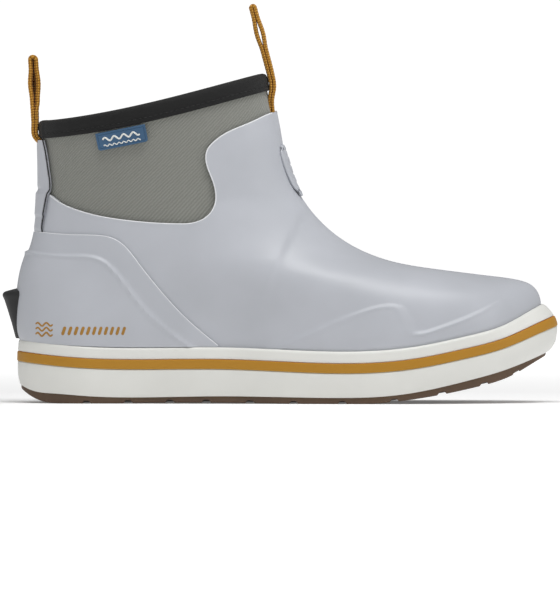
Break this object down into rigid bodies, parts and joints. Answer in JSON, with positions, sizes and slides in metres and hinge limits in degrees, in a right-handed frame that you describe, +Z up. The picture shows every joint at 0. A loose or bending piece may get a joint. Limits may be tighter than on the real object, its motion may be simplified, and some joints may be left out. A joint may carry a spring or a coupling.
{
  "type": "deck boot",
  "caption": "Right ankle-high rubber deck boot with a neoprene ankle sleeve, foxed flat grooved sole, two webbing pull loops, a side tag and a kick-off heel tab.",
  "frame": {"origin": "on the ground, at the centre of the boot's box seen from above", "axes": "+X points to the toe, +Y to the inner side of the foot, +Z up"},
  "size_m": [0.3087, 0.1132, 0.222],
  "materials": {
    "grey_rubber": "satin moulded rubber with a very fine grain",
    "white_rubber": "satin",
    "gold_rubber": "satin",
    "gum_rubber": "matt",
    "black_rubber": "matt",
    "neoprene": "ribbed knit face on foam",
    "binding": "matt knit",
    "webbing": "ribbed woven webbing",
    "tag_rubber": "soft moulded rubber",
    "foam": "matt closed-cell foam",
    "board": "pressed fibre board",
    "lining": "brushed knit"
  },
  "bodies": {
    "root": {"outsole": "gum_rubber", "midsole": "foam", "lasting_board": "board", "footbed": "foam", "footbed_cover": "lining", "foxing": "white_rubber", "foxing_stripe": "gold_rubber", "vamp_shell": "grey_rubber", "heel_counter": "grey_rubber", "heel_stiffener": "board", "toe_guard": "black_rubber", "ankle_pad_outer": "black_rubber", "ankle_pad_inner": "black_rubber", "neoprene_sleeve": "neoprene", "lining": "lining", "collar_binding": "binding", "back_strip": "grey_rubber", "front_badge": "grey_rubber", "kick_tab": "black_rubber", "front_loop_root": "webbing", "rear_loop_root": "webbing"},
    "front_loop": {"front_pull_loop": "webbing"},
    "rear_loop": {"rear_pull_loop": "webbing"},
    "tag": {"side_tag": "tag_rubber"}
  },
  "joints": [
    {"name": "front_loop_swing", "type": "hinge", "parent": "root", "child": "front_loop", "pos_m": [-0.00595, 0, 0.18521], "axis": [0, 1, 0], "range_deg": [-50, 95], "stiffness_Nm_per_rad": 0.01},
    {"name": "rear_loop_swing", "type": "hinge", "parent": "root", "child": "rear_loop", "pos_m": [-0.13607, 0, 0.15826], "axis": [0, 1, 0], "range_deg": [-95, 55], "stiffness_Nm_per_rad": 0.01},
    {"name": "tag_flip", "type": "hinge", "parent": "root", "child": "tag", "pos_m": [-0.10227, -0.03549, 0.14884], "axis": [-0.9666, 0.1723, -0.1897], "range_deg": [0, 70], "stiffness_Nm_per_rad": 0.002}
  ]
}
